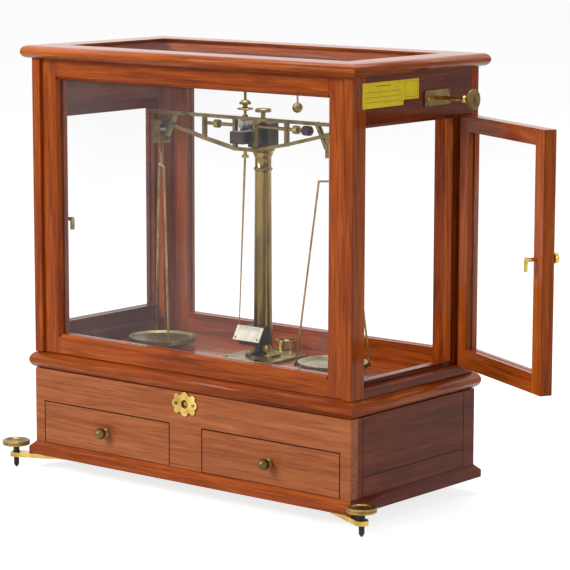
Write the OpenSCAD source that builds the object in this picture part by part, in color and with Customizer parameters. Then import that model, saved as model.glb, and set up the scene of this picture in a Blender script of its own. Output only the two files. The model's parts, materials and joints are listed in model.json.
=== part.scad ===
// Apothecary's prescription balance in a glazed mahogany case with two drawers.
// Millimetres, +Z up, +X to the right along the front, +Y to the back.
// The origin is the middle of the rear foot's underside, the fixed point of the three it stands on.

/* [Case] */
// Width of the glazed case
case_w = 440; // [425:5:470]
// Depth of the glazed case
case_d = 214.5; // [208:0.5:230]
// Clear height from the floor board to the top board
chamber_h = 323; // [318:1:340]
// Thickness of the base board
base_t = 14; // [12:0.5:18]
// How far the base board stands out, which is also its bevel
base_over = 6; // [4:0.5:8]
// Height of the drawer box
plinth_h = 82.5; // [80:0.5:92]
// Thickness of the floor board above the drawers
deck_t = 18.5; // [16:0.5:20]
// How far the floor board stands out
deck_over = 5; // [3:0.5:7]
// Thickness of the top board
top_t = 13.5; // [12:0.5:16]
// How far the top board stands out
top_over = 9; // [6:0.5:11]
// Width of the top board's members round its pane
top_member = 38; // [34:1:44]
// Thickness of the drawer box's walls
plinth_wall = 12; // [10:0.5:14]
// Thickness of the window glass
glass_t = 2.4; // [2:0.1:3]
// Depth of the groove that holds a pane
groove = 3; // [2:0.5:4]

/* [Corner posts and fixed sashes] */
// Width of a corner post on the front and the back
post_w = 11.5; // [10:0.5:13]
// Depth of a front post on the side
post_d = 21.5; // [19:0.5:24]
// Thickness of the doors, and of the side rails above and below them
side_t = 13; // [12:0.5:15]
// Thickness of the door stops behind the doors
stop_t = 9.7; // [8:0.1:11]
// Width of the door stops on the posts
stop_w = 12; // [10:0.5:13]
// How far the front sash is set back from the posts
sash_setback = 4; // [3:0.5:6]
// Thickness of the front and the back sash
sash_t = 14; // [12:0.5:15]
// Width of the front and back sash stiles
sash_stile = 23.5; // [20:0.5:28]
// Height of the front and back sash rails
sash_rail = 21.8; // [19:0.2:26]
// Slot under the front sash
sash_slot = 0.6; // [0.4:0.1:1]
// Height of the side rail above a door
side_rail_h = 48; // [44:1:54]
// Height of the side sill below a door
side_sill_h = 8.5; // [7:0.5:11]
// How far a stop shows past the rail or sill
stop_show = 5; // [3:0.5:7]

/* [Doors] */
// Gap round a door
door_gap = 1; // [0.9:0.1:1.5]
// Width of a door stile
door_stile = 18; // [16:0.5:22]
// Height of a door's top rail
door_top_rail = 16.5; // [15:0.5:20]
// Height of a door's bottom rail
door_bottom_rail = 20; // [18:0.5:24]
// How far the right door stands open
door_open = 62.6; // [0:0.1:110]
// Diameter of a hinge knuckle
knuckle_d = 4.6; // [4:0.1:4.8]
// Diameter of a hinge pin
hinge_pin_d = 2; // [1.6:0.1:2.4]
// Height of a hinge
hinge_h = 32; // [26:1:40]
// Thickness of a hinge leaf
leaf_t = 1.2; // [1:0.1:1.4]
// Height of the lower hinges above the floor
hinge_low = 50; // [40:1:70]
// Distance of the upper hinges below the top board
hinge_high = 88; // [80:1:110]
// Height of the turn catches above the floor
catch_z = 145; // [120:1:180]
// Diameter of a catch spindle
catch_d = 4; // [3:0.1:5]
// Reach of a catch tongue from its spindle
catch_reach = 12; // [10:0.5:14]

/* [Drawers] */
// Width of the stile between the drawers
centre_stile = 45; // [40:1:54]
// Width of the stile at each end of the drawer box
end_stile = 13.5; // [12.5:0.5:16]
// Height of the drawer openings
drawer_h = 47; // [42:0.5:52]
// Gap round a drawer front
drawer_gap = 0.6; // [0.4:0.1:1]
// Length of a drawer, front to back
drawer_l = 158; // [150:1:165]
// Thickness of a drawer front
drawer_front_t = 14; // [12:0.5:16]
// Thickness of a drawer's sides and back
drawer_side_t = 7; // [6:0.5:9]
// Thickness of a drawer's bottom
drawer_bottom_t = 4; // [3:0.5:5]
// Diameter of a drawer knob
knob_d = 12; // [10:0.5:14]
// How far a drawer knob stands out
knob_out = 15; // [14:0.5:18]
// Thickness of the dust board above the drawers
dust_t = 5; // [4:0.5:6]

/* [Arrestment] */
// Height of the spindle below the floor board's underside
spindle_drop = 12.5; // [11:0.5:13.5]
// Diameter of the spindle
spindle_d = 8; // [7:0.5:9]
// Diameter of the cam
cam_d = 10; // [9.5:0.5:11]
// Throw of the cam off the spindle's centre
cam_throw = 2; // [1.5:0.1:2.5]
// Length of the cam
cam_l = 12; // [10:0.5:14]
// Diameter of the lift rod
lift_d = 5; // [4:0.1:5.5]
// Width of the escutcheon plate
escutcheon_w = 34; // [30:1:38]
// Height of the escutcheon plate
escutcheon_h = 26; // [22:1:28]
// Thickness of the brass plates on the case
plate_t = 1.6; // [1:0.1:2.5]

/* [Feet] */
// Height of the feet
foot_h = 17; // [15:0.5:20]
// Diameter of the rear foot
foot_d = 24; // [20:1:30]
// Distance of the rear foot behind the case's middle
foot_y = 80; // [70:1:85]
// How far a levelling screw stands out past the case's side
level_out_x = 22; // [21:0.5:26]
// How far a levelling screw stands out past the case's front
level_out_y = 9.8; // [9:0.2:14]
// Diameter of a levelling wheel
wheel_d = 30; // [26:1:31]
// Thickness of a levelling wheel
wheel_t = 5.6; // [5:0.2:6.6]
// Height of a levelling screw's neck
neck_h = 8; // [7:0.5:9]
// Diameter of a levelling screw's neck
neck_d = 8.5; // [8:0.5:10]
// Diameter of a levelling screw
screw_d = 6; // [5:0.5:7]
// Thickness of a levelling arm
arm_t = 5; // [4:0.5:6]
// Width of a levelling arm
arm_w = 14; // [13:0.5:16]
// Length of a levelling arm, from its screw to its inner end
arm_l = 56; // [50:1:64]
// Angle of a levelling arm to the front
arm_angle = 25.6; // [20:0.2:30]

/* [Column] */
// Distance of the column behind the case's middle
column_y = 21; // [18:1:24]
// Height of the column above the floor
column_h = 230; // [225:1:236]
// Diameter of the column's foot
column_foot_d = 39; // [36:1:42]
// Diameter of the shaft at its lower end
shaft_d1 = 20.5; // [18:0.5:22]
// Diameter of the shaft at its upper end
shaft_d2 = 17.8; // [16:0.1:19]
// Diameter of the capital
capital_d = 26; // [24:1:28]
// Width of the square base plate
column_plate_w = 69; // [64:1:74]
// Depth of the square base plate
column_plate_d = 72; // [66:1:74]
// Thickness of the square base plate
column_plate_t = 3; // [2.5:0.5:4]
// Width of the bearing head
head_w = 28; // [26:1:30]
// Depth of the bearing head
head_d = 18; // [16:1:20]
// Height of the bearing head
head_h = 27; // [26:0.5:28]
// Width of the bearing arm
bearing_w = 18; // [16:0.5:19]
// Diameter of the thumb knob
thumb_d = 17; // [14:0.5:18]

/* [Beam] */
// Distance of the beam in front of the case's middle
beam_y_out = 9; // [8:0.5:10]
// Height of the middle knife edge above the floor
pivot_h = 250; // [249:0.5:251]
// Distance from the middle knife edge to an end one
knife_x = 120; // [115:1:124]
// Thickness of the beam
beam_t = 5; // [4:0.5:6]
// Width of the beam's bars
bar_w = 3.6; // [3:0.1:4]
// Length of the beam's top bar
beam_l = 276; // [270:1:284]
// Length of the pointer below the beam
pointer_l = 186; // [176:1:190]
// How far the pointer's tip stands in front of the beam
pointer_crank = 10; // [8:0.5:12]
// Diameter of the adjusting rod
rod_d = 3.8; // [3:0.1:4.2]
// Diameter of the adjusting nuts
nut_d = 9; // [8:0.5:10]

/* [Pans] */
// Diameter of a pan
pan_d = 74; // [66:1:76]
// Thickness of a pan
pan_t = 8; // [6:0.5:9]
// Depth of a pan's dish
pan_dish = 2.6; // [2:0.2:4]
// Height of a pan's underside above the floor
pan_h = 7; // [6.5:0.5:10]
// Diameter of the bow wire
wire_d = 2.2; // [1.8:0.1:2.6]
// Height of the bow's top bar above the pan's rim
bow_h = 190; // [184:1:194]
// Width of the bow's top bar
bow_top_w = 31; // [27:1:35]
// How far a bow is turned from the beam's line
bow_turn = 38; // [20:1:50]

/* [Scale, level and rider] */
// Width of the pointer scale
scale_w = 36; // [34:1:42]
// Height of the pointer scale
scale_h = 17; // [15:0.5:19]
// Thickness of the pointer scale
scale_t = 1.5; // [1:0.1:2]
// Angle at which the scale leans back from upright
scale_lean = 31; // [25:1:35]
// Height of the scale's lower edge above the floor
scale_z = 23; // [21:0.5:25]
// Diameter of the bull's-eye level
level_d = 24; // [20:0.5:25]
// Height of the bull's-eye level
level_h = 13; // [11:0.5:15]
// Distance of the rider rod behind the case's middle
rider_y = 32.4; // [30:0.2:36]
// Distance of the rider rod below the top board
rider_drop = 28; // [24:0.5:30]
// Diameter of the rider rod
rider_d = 4; // [3.4:0.1:4.6]
// Length of the rider rod outside the case
rider_out = 46; // [40:1:52]
// Place of the rider arm to the right of the middle
rider_arm_x = 38; // [34:1:44]
// Diameter of the rider ball
rider_ball_d = 11.4; // [9:0.2:12]
// Drop of the ball's centre below the rod
rider_ball_drop = 21; // [19:0.5:23]

/* [Hidden] */
$fn = 48;

// Colours
lit_mahogany = [0.62, 0.32, 0.15];
drawer_wood = [0.66, 0.40, 0.28];
inner_wood = [0.52, 0.36, 0.22];
brass = [0.62, 0.52, 0.28];
dark_metal = [0.22, 0.19, 0.18];
steel = [0.45, 0.44, 0.43];
ivory = [0.92, 0.90, 0.84];
clear_glass = [0.80, 0.86, 0.88, 0.35];

// Radial clearance of a running fit, and the small gap between faces that move past each other
fit = 0.05;
face_gap = 0.3;

// Heights, from the underside of the base board
half_w = case_w / 2;
half_d = case_d / 2;
z_deck = base_t + plinth_h;
z_floor = z_deck + deck_t;
z_ceiling = z_floor + chamber_h;
z_top = z_ceiling + top_t;

// Sides of the case
side_in = half_w - side_t;
stop_out = side_in - face_gap;
stop_in = stop_out - stop_t;
post_rear_d = half_d - sash_t + 1.5;
door_front_y = -half_d + post_d;
door_rear_y = post_rear_d;
z_door_low = z_floor + side_sill_h;
z_door_high = z_ceiling - side_rail_h;
sash_y = -half_d + sash_setback;
sash_half_w = half_w - post_w;

// Doors, hinges and catches
pin_x = half_w + knuckle_d / 2 + 0.2;
pin_y = door_rear_y;
catch_y = door_front_y + door_gap + door_stile - 5;
z_catch = z_floor + catch_z;
hinge_zs = [z_floor + hinge_low, z_ceiling - hinge_high];

// Drawers
drawer_x0 = centre_stile / 2;
drawer_x1 = half_w - end_stile;
drawer_mid = (drawer_x0 + drawer_x1) / 2;
z_drawer = base_t + drawer_h;

// Arrestment
z_spindle = z_deck - spindle_drop;
z_lift = z_spindle + cam_throw + cam_d / 2 + 0.5;

// Column, beam and pans
z_plate = z_floor + column_plate_t;
z_column = z_floor + column_h;
z_head = z_column + head_h;
beam_y = -beam_y_out;
z_pivot = z_floor + pivot_h;
z_bar = z_pivot + 13.4;
z_chord = z_pivot - 19.8;
z_pan = z_floor + pan_h;
z_rim = z_pan + pan_t;
z_bow = z_rim + bow_h;

// Stirrup rings
ring_r = 3.2;
ring_wire = 1.5;
z_stirrup_foot = z_pivot - 20.5;
z_ring_a = z_stirrup_foot - ring_r + 0.5;
z_ring_b = z_ring_a - 2 * ring_r + ring_wire + 0.2;

// Levelling screws
level_x = half_w + level_out_x;
level_y = -half_d - level_out_y;

// Rider
z_rider = z_ceiling - rider_drop;

// Places a shape that is given from the middle of the base board's underside
module in_case() translate([0, -foot_y, foot_h]) children();

module both_sides() {
    children();
    mirror([1, 0, 0]) children();
}

module block(x0, x1, y0, y1, z0, z1) translate([x0, y0, z0]) cube([x1 - x0, y1 - y0, z1 - z0]);

module rod_x(d, x0, x1, y, z) translate([x0, y, z]) rotate([0, 90, 0]) cylinder(d = d, h = x1 - x0);

module rod_y(d, y0, y1, x, z) translate([x, y1, z]) rotate([90, 0, 0]) cylinder(d = d, h = y1 - y0);

module rod_z(d, z0, z1, x, y) translate([x, y, z0]) cylinder(d = d, h = z1 - z0);

// A round-nosed board, as the crossing of its two end profiles
module nose_profile(w, t) {
    square([w - t, t], center = true);
    for (side = [-1, 1]) translate([side * (w - t) / 2, 0]) circle(d = t);
}

module nosed_board(w, d, t, z) translate([0, 0, z + t / 2]) intersection() {
    rotate([90, 0, 0]) linear_extrude(height = d, center = true) nose_profile(w, t);
    rotate([90, 0, 90]) linear_extrude(height = w, center = true) nose_profile(d, t);
}

// A board with a straight edge below and a bevel above
module bevel_profile(w, t, bevel) polygon([
    [-w / 2, 0], [w / 2, 0], [w / 2, t - bevel], [w / 2 - bevel, t],
    [-w / 2 + bevel, t], [-w / 2, t - bevel]
]);

module bevelled_board(w, d, t, bevel) intersection() {
    rotate([90, 0, 0]) linear_extrude(height = d, center = true) bevel_profile(w, t, bevel);
    rotate([90, 0, 90]) linear_extrude(height = w, center = true) bevel_profile(d, t, bevel);
}

// A wood screw's shank and head, pointing along -Z from the face at z = 0
module wood_screw(d, head_t, length) {
    cylinder(d = d, h = head_t);
    translate([0, 0, -length]) cylinder(d = d / 2, h = length);
}

// Case

module base_board() in_case() color(lit_mahogany)
    bevelled_board(case_w + 2 * base_over, case_d + 2 * base_over, base_t, base_over);

module plinth_front() in_case() color(lit_mahogany) difference() {
    block(-half_w, half_w, -half_d, -half_d + plinth_wall, base_t, z_deck);
    both_sides() block(drawer_x0, drawer_x1, -half_d - 1, -half_d + plinth_wall + 1, base_t - 1, z_drawer);
    rod_y(spindle_d + 2 * fit, -half_d - 1, -half_d + plinth_wall + 1, 0, z_spindle);
}

module plinth_walls() in_case() color(lit_mahogany) {
    both_sides() difference() {
        block(half_w - plinth_wall, half_w, -half_d + plinth_wall, half_d, base_t, z_deck);
        plinth_side_joints();
    }
    block(-half_w + plinth_wall, half_w - plinth_wall, half_d - plinth_wall, half_d, base_t, z_deck);
}

// The fine joint lines of the framed side, round its flush panel
side_joint = 0.7;
side_stile = 20;
module plinth_side_joints() {
    panel_y0 = -half_d + side_stile;
    panel_y1 = half_d - side_stile;
    for (y = [panel_y0, panel_y1])
        block(half_w - side_joint, half_w + 1, y, y + side_joint, base_t - 1, z_deck + 1);
    block(half_w - side_joint, half_w + 1, panel_y0, panel_y1, base_t + side_stile, base_t + side_stile + side_joint);
}

// Runners that keep the drawers square: one between them and one at each side
guide_gap = 0.8;
guide_h = 20;
drawer_back_y = -half_d + drawer_l;
module drawer_guides() in_case() color(inner_wood) {
    block(-drawer_x0 + 1, drawer_x0 - 1, -half_d + plinth_wall, drawer_back_y, base_t, z_drawer);
    both_sides() block(drawer_x1 - 0.2, half_w - plinth_wall, -half_d + plinth_wall, drawer_back_y, base_t, base_t + guide_h);
}

module dust_board() in_case() color(inner_wood)
    block(-half_w + plinth_wall, half_w - plinth_wall, -half_d + plinth_wall, half_d - plinth_wall,
          z_drawer, z_drawer + dust_t);

module deck_board() in_case() color(lit_mahogany) difference() {
    nosed_board(case_w + 2 * deck_over, case_d + 2 * deck_over, deck_t, z_deck);
    rod_z(lift_d + 2, z_deck - 1, z_floor + 1, 0, column_y);
}

// Corner posts, with the stops that the doors close against
module front_post() linear_extrude(height = chamber_h) polygon([
    [sash_half_w, -half_d], [half_w, -half_d], [half_w, door_front_y], [stop_out, door_front_y],
    [stop_out, door_front_y + stop_w - 2.5], [stop_in, door_front_y + stop_w - 2.5],
    [stop_in, sash_y + sash_t], [sash_half_w, sash_y + sash_t]
]);

module rear_post() linear_extrude(height = chamber_h) polygon([
    [stop_in, door_rear_y - stop_w - 2.5], [stop_out, door_rear_y - stop_w - 2.5], [stop_out, door_rear_y],
    [half_w, door_rear_y], [half_w, half_d], [stop_in, half_d]
]);

module corner_posts() in_case() color(lit_mahogany) both_sides() {
    translate([0, 0, z_floor]) front_post();
    difference() {
        translate([0, 0, z_floor]) rear_post();
        for (z = hinge_zs) block(side_in + 1, half_w + 1, pin_y - 1, pin_y + leaf_t, z - hinge_h / 2, z + hinge_h / 2);
    }
}

// The fixed rail above and sill below each door, with their stops
module side_rails() in_case() color(lit_mahogany) both_sides() {
    stop_y0 = door_front_y + stop_w - 2.5;
    stop_y1 = door_rear_y - stop_w - 2.5;
    difference() {
        union() {
            block(stop_out, half_w, door_front_y, door_rear_y, z_door_high, z_ceiling);
            block(stop_in, stop_out, stop_y0, stop_y1, z_door_high - stop_show, z_ceiling);
        }
        rod_x(rider_d + 2 * fit, stop_in - 1, half_w + 1, rider_y, z_rider);
    }
    block(stop_out, half_w, door_front_y, door_rear_y, z_floor, z_door_low);
    block(stop_in, stop_out, stop_y0, stop_y1, z_floor, z_door_low + stop_show);
}

// A sash in the XZ plane, with a groove for its pane and a small bevel round its opening
sash_bevel = 3;
module sash(w, z0, z1, y0, y1, front_bevel) {
    ow = w / 2 - sash_stile;
    oz0 = z_floor + sash_rail;
    oz1 = z_ceiling - sash_rail;
    mid = (y0 + y1) / 2;
    difference() {
        block(-w / 2, w / 2, y0, y1, z0, z1);
        block(-ow, ow, y0 - 1, y1 + 1, oz0, oz1);
        block(-ow - groove, ow + groove, mid - glass_t / 2, mid + glass_t / 2, oz0 - groove, oz1 + groove);
        if (front_bevel) intersection() {
            rotate([90, 0, 0]) linear_extrude(height = case_d, center = true)
                translate([-ow - sash_bevel, oz0 - sash_bevel]) square([2 * (ow + sash_bevel), oz1 - oz0 + 2 * sash_bevel]);
            sash_bevel_cut(ow, oz0, oz1, y0);
        }
    }
}

module sash_bevel_cut(ow, oz0, oz1, y0) {
    for (side = [-1, 1]) linear_extrude(height = oz1 + sash_bevel) polygon([
        [side * ow, y0 - 0.01], [side * (ow + sash_bevel), y0 - 0.01], [side * ow, y0 + sash_bevel]
    ]);
    rotate([90, 0, 90]) linear_extrude(height = 2 * (ow + sash_bevel), center = true) {
        polygon([[y0 - 0.01, oz0], [y0 - 0.01, oz0 - sash_bevel], [y0 + sash_bevel, oz0]]);
        polygon([[y0 - 0.01, oz1], [y0 - 0.01, oz1 + sash_bevel], [y0 + sash_bevel, oz1]]);
    }
}

module front_frame() in_case() color(lit_mahogany)
    sash(2 * sash_half_w, z_floor + sash_slot, z_ceiling, sash_y, sash_y + sash_t, true);

back_y0 = half_d - sash_t + 1.5;
module back_frame() in_case() color(lit_mahogany)
    sash(2 * stop_in, z_floor, z_ceiling, back_y0, half_d, false);

// Window panes of the front, the back and the top
module sash_pane(w, y0, y1) {
    hw = w / 2 - sash_stile + groove - face_gap;
    mid = (y0 + y1) / 2;
    block(-hw, hw, mid - glass_t / 2, mid + glass_t / 2,
          z_floor + sash_rail - groove + face_gap, z_ceiling - sash_rail + groove - face_gap);
}

top_open_w = half_w + top_over - top_member;
top_open_d = half_d + top_over - top_member;
z_top_pane = z_top - 5;
module fixed_panes() in_case() color(clear_glass) {
    sash_pane(2 * sash_half_w, sash_y, sash_y + sash_t);
    sash_pane(2 * stop_in, back_y0, half_d);
    translate([0, 0, z_top_pane]) linear_extrude(height = glass_t)
        square(2 * [top_open_w + groove - face_gap, top_open_d + groove - face_gap], center = true);
}

module top_frame() in_case() color(lit_mahogany) difference() {
    nosed_board(case_w + 2 * top_over, case_d + 2 * top_over, top_t, z_ceiling);
    translate([0, 0, z_ceiling - 1]) linear_extrude(height = top_t + 2)
        square(2 * [top_open_w, top_open_d], center = true);
    translate([0, 0, z_top_pane]) linear_extrude(height = glass_t)
        square(2 * [top_open_w + groove, top_open_d + groove], center = true);
}

// Doors, given closed on the right side of the case

module door_frame_closed() {
    y0 = door_front_y + door_gap;
    y1 = door_rear_y - door_gap;
    z0 = z_door_low + door_gap;
    z1 = z_door_high - door_gap;
    mid = (side_in + half_w) / 2;
    difference() {
        block(side_in, half_w, y0, y1, z0, z1);
        block(side_in - 1, half_w + 1, y0 + door_stile, y1 - door_stile, z0 + door_bottom_rail, z1 - door_top_rail);
        block(mid - glass_t / 2, mid + glass_t / 2, y0 + door_stile - groove, y1 - door_stile + groove,
              z0 + door_bottom_rail - groove, z1 - door_top_rail + groove);
        for (z = hinge_zs) block(side_in + 1, half_w + 1, y1 - leaf_t, y1 + 1, z - hinge_h / 2, z + hinge_h / 2);
        rod_x(catch_d + 2 * fit, side_in - 1, half_w + 1, catch_y, z_catch);
    }
}

module door_glass_closed() {
    y0 = door_front_y + door_gap + door_stile - groove + face_gap;
    y1 = door_rear_y - door_gap - door_stile + groove - face_gap;
    z0 = z_door_low + door_gap + door_bottom_rail - groove + face_gap;
    z1 = z_door_high - door_gap - door_top_rail + groove - face_gap;
    mid = (side_in + half_w) / 2;
    block(mid - glass_t / 2, mid + glass_t / 2, y0, y1, z0, z1);
}

// Butt hinges: the case leaf holds the outer knuckles and the door leaf the middle one
knuckle_h = hinge_h / 3;
leaf_edge = pin_x - knuckle_d / 2 - 0.3;
module case_leaf(z) difference() {
    union() {
        block(side_in + 1, leaf_edge, pin_y, pin_y + leaf_t, z - hinge_h / 2, z + hinge_h / 2);
        for (side = [-1, 1]) translate([0, 0, z + side * knuckle_h]) {
            rod_z(knuckle_d, -knuckle_h / 2, knuckle_h / 2, pin_x, pin_y);
            block(leaf_edge - 1, pin_x, pin_y, pin_y + leaf_t, -knuckle_h / 2, knuckle_h / 2);
        }
    }
    rod_z(hinge_pin_d, z - hinge_h, z + hinge_h, pin_x, pin_y);
}

module door_leaf(z) difference() {
    edge = door_rear_y - door_gap;
    union() {
        block(side_in + 1, leaf_edge, edge - leaf_t, edge, z - hinge_h / 2, z + hinge_h / 2);
        rod_z(knuckle_d, z - knuckle_h / 2 + 0.2, z + knuckle_h / 2 - 0.2, pin_x, pin_y);
        block(leaf_edge - 1, pin_x, edge - leaf_t, edge, z - knuckle_h / 2 + 0.2, z + knuckle_h / 2 - 0.2);
    }
    rod_z(hinge_pin_d + 2 * fit, z - hinge_h, z + hinge_h, pin_x, pin_y);
}

// A turn catch: a small knob outside, a spindle through the stile and a tongue that turns behind the post's stop
tongue_t = 2;
tongue_w = 5;
tongue_gap = 0.5;
catch_knob_d = 11;
module catch_closed() {
    tongue_x = stop_in - tongue_gap - tongue_t;
    foot_z = z_catch - catch_reach + tongue_w / 2;
    rod_x(catch_d, tongue_x, half_w + 6, catch_y, z_catch);
    block(tongue_x, tongue_x + tongue_t, catch_y - tongue_w / 2, catch_y + tongue_w / 2, foot_z, z_catch);
    for (z = [z_catch, foot_z]) rod_x(tongue_w, tongue_x, tongue_x + tongue_t, catch_y, z);
    translate([half_w + face_gap, catch_y, z_catch]) rotate([0, 90, 0]) rotate_extrude() polygon([
        [0, 0], [4, 0], [4, 1.2], [2.4, 2.2], [2.6, 4], [catch_knob_d / 2, 6], [catch_knob_d / 2, 9.5],
        [catch_knob_d / 2 - 1, 10.5], [0, 10.5]
    ]);
}

// Swings a closed right door about its hinge pins
module swung(angle) translate([pin_x, pin_y, 0]) rotate([0, 0, angle]) translate([-pin_x, -pin_y, 0]) children();

module left_door_frame() in_case() color(lit_mahogany) mirror([1, 0, 0]) door_frame_closed();
module left_door_glass() in_case() color(clear_glass) mirror([1, 0, 0]) door_glass_closed();
module right_door_frame() in_case() color(lit_mahogany) swung(door_open) door_frame_closed();
module right_door_glass() in_case() color(clear_glass) swung(door_open) door_glass_closed();
module left_catch() in_case() color(brass) mirror([1, 0, 0]) catch_closed();
module right_catch() in_case() color(brass) swung(door_open) catch_closed();

module case_hinge_leaves() in_case() color(brass) both_sides() for (z = hinge_zs) case_leaf(z);
module left_door_leaves() in_case() color(brass) mirror([1, 0, 0]) for (z = hinge_zs) door_leaf(z);
module right_door_leaves() in_case() color(brass) swung(door_open) for (z = hinge_zs) door_leaf(z);
module hinge_pins() in_case() color(steel) both_sides() for (z = hinge_zs)
    rod_z(hinge_pin_d, z - hinge_h / 2, z + hinge_h / 2, pin_x, pin_y);

// Drawers, given on the right

module drawer() {
    x0 = drawer_x0 + drawer_gap;
    x1 = drawer_x1 - drawer_gap;
    y0 = -half_d;
    z0 = base_t + drawer_gap / 2;
    z1 = z_drawer - drawer_gap;
    floor_z = z0 + 2;
    difference() {
        union() {
            block(x0, x1, y0, y0 + drawer_front_t, z0, z1);
            block(x0 + guide_gap, x1 - guide_gap, y0 + drawer_front_t - 1, drawer_back_y, z0, z1 - 3);
        }
        block(x0 + guide_gap + drawer_side_t, x1 - guide_gap - drawer_side_t,
              y0 + drawer_front_t, drawer_back_y - drawer_side_t, floor_z + drawer_bottom_t, z1 + 1);
        rod_y(4, y0 - 1, y0 + drawer_front_t + 1, drawer_mid, z_drawer - drawer_h / 2);
    }
}

// Turned brass knob on a neck, with a screw through the drawer front
module drawer_knob() translate([drawer_mid, -half_d, z_drawer - drawer_h / 2]) {
    rotate([90, 0, 0]) rotate_extrude() polygon([
        [0, 0], [5, 0], [5, 1], [3.6, 1.8], [2.2, 3], [2, 5], [2.6, 7], [0, 7]
    ]);
    translate([0, -knob_out + knob_d / 2, 0]) sphere(d = knob_d);
    translate([0, drawer_front_t - 2, 0]) rotate([90, 0, 0]) cylinder(d = 4, h = drawer_front_t - 2);
}

module left_drawer() in_case() color(drawer_wood) mirror([1, 0, 0]) drawer();
module right_drawer() in_case() color(drawer_wood) drawer();
module left_drawer_knob() in_case() color(brass) mirror([1, 0, 0]) drawer_knob();
module right_drawer_knob() in_case() color(brass) drawer_knob();

// Arrestment: the key turns a spindle whose cam lets the lift rod down

module escutcheon_outline() {
    square([escutcheon_w - 8, escutcheon_h - 8], center = true);
    for (side = [-1, 1]) {
        translate([side * (escutcheon_w / 2 - 5), 0]) circle(d = 10);
        translate([0, side * (escutcheon_h / 2 - 5)]) circle(d = 10);
        for (end = [-1, 1])
            translate([side * (escutcheon_w / 2 - 6), end * (escutcheon_h / 2 - 6)]) circle(d = 7);
    }
}

module escutcheon_plate() in_case() color(brass) translate([0, -half_d, z_spindle]) rotate([90, 0, 0])
    linear_extrude(height = plate_t) difference() {
        escutcheon_outline();
        circle(d = spindle_d + 1);
        for (side = [-1, 1]) translate([side * (escutcheon_w / 2 - 5), 0]) circle(d = 2.2);
    }

spindle_y1 = column_y + cam_l / 2 + 20;
module arrest_spindle() in_case() color(steel) {
    rod_y(spindle_d, -half_d + 3, spindle_y1, 0, z_spindle);
    block(-2.2, 2.2, -half_d + 0.2, -half_d + 4, z_spindle - 2.2, z_spindle + 2.2);
    rod_y(cam_d, column_y - cam_l / 2, column_y + cam_l / 2, 0, z_spindle + cam_throw);
}

bearing_block_w = 22;
bearing_block_t = 10;
module arrest_bearing() in_case() color(inner_wood) difference() {
    block(-bearing_block_w / 2, bearing_block_w / 2, spindle_y1 - bearing_block_t, spindle_y1,
          z_drawer + dust_t, z_spindle + spindle_d);
    rod_y(spindle_d + 2 * fit, spindle_y1 - bearing_block_t - 1, spindle_y1 + 1, 0, z_spindle);
}

lift_seat = 7;
module lift_rod() in_case() color(steel)
    rod_z(lift_d, z_lift, z_column + lift_seat - 2, 0, column_y);

// Small brass and steel screws of the plates
base_screw_inset = 6;
rider_plate_w = 44;
rider_plate_h = 16;
module screws() in_case() color(brass) {
    for (side = [-1, 1]) {
        translate([side * (escutcheon_w / 2 - 5), -half_d - plate_t, z_spindle])
            rotate([90, 0, 0]) wood_screw(4, 0.8, plate_t);
        for (end = [-1, 1]) translate([
            side * (column_plate_w / 2 - base_screw_inset),
            column_y + end * (column_plate_d / 2 - base_screw_inset), z_plate
        ]) wood_screw(6, 1, column_plate_t);
        translate([half_w + plate_t, rider_y + side * (rider_plate_w / 2 - 5), z_rider])
            rotate([0, 90, 0]) wood_screw(4, 0.8, plate_t);
        for (inset = arm_screws) mirror([side < 0 ? 1 : 0, 0, 0]) translate([level_x, level_y, -arm_t])
            rotate([180, 0, -arm_angle]) translate([-inset, 0, 0]) wood_screw(6, 1, arm_t);
        translate([side * (scale_w / 2 - 3), beam_y, z_floor + scale_z]) rotate([90 - scale_lean, 0, 0])
            translate([0, 3, 0]) wood_screw(3, 0.7, scale_t);
    }
}

// Feet

// A flat arm with round ends, from the screw to its inner end under the base board
arm_screws = [32, 48];
function round_end(x, start) = [for (a = [start:15:start + 180]) [x + arm_w / 2 * cos(a), arm_w / 2 * sin(a)]];
module levelling_arm() translate([level_x, level_y, -arm_t]) rotate([0, 0, -arm_angle]) difference() {
    linear_extrude(height = arm_t) polygon(concat(round_end(0, -90), round_end(-arm_l, 90)));
    translate([0, 0, -1]) cylinder(d = screw_d + 2 * fit, h = arm_t + 2);
    for (inset = arm_screws) translate([-inset, 0, -1]) cylinder(d = 3, h = arm_t + 2);
}

module levelling_arms() in_case() color(brass) both_sides() levelling_arm();

wheel_dish = 1.6;
tip_h = 3;
module levelling_screw() translate([level_x, level_y, 0]) rotate_extrude() polygon([
    [0, -foot_h], [1, -foot_h], [screw_d / 2, -foot_h + tip_h], [screw_d / 2, 0.2], [neck_d / 2, 0.2],
    [neck_d / 2 - 0.8, 2], [neck_d / 2 - 0.8, neck_h - 2], [neck_d / 2, neck_h],
    [wheel_d / 2 - 0.6, neck_h], [wheel_d / 2, neck_h + 0.6],
    [wheel_d / 2, neck_h + wheel_t / 2 - 0.5], [wheel_d / 2 - 0.8, neck_h + wheel_t / 2],
    [wheel_d / 2, neck_h + wheel_t / 2 + 0.5], [wheel_d / 2, neck_h + wheel_t - 0.6],
    [wheel_d / 2 - 0.6, neck_h + wheel_t], [wheel_d / 2 - 3, neck_h + wheel_t],
    [wheel_d / 2 - 5, neck_h + wheel_t - wheel_dish], [0, neck_h + wheel_t - wheel_dish]
]);

module levelling_screw_left() in_case() color(brass) mirror([1, 0, 0]) levelling_screw();
module levelling_screw_right() in_case() color(brass) levelling_screw();

module rear_foot() in_case() color(lit_mahogany) translate([0, foot_y, 0]) rotate_extrude() polygon([
    [0, -foot_h], [foot_d / 2 - 3, -foot_h], [foot_d / 2, -foot_h + 4], [foot_d / 2, -6],
    [foot_d / 2 - 3, -4], [foot_d / 2 - 3, 0], [0, 0]
]);

// Column and head

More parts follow.
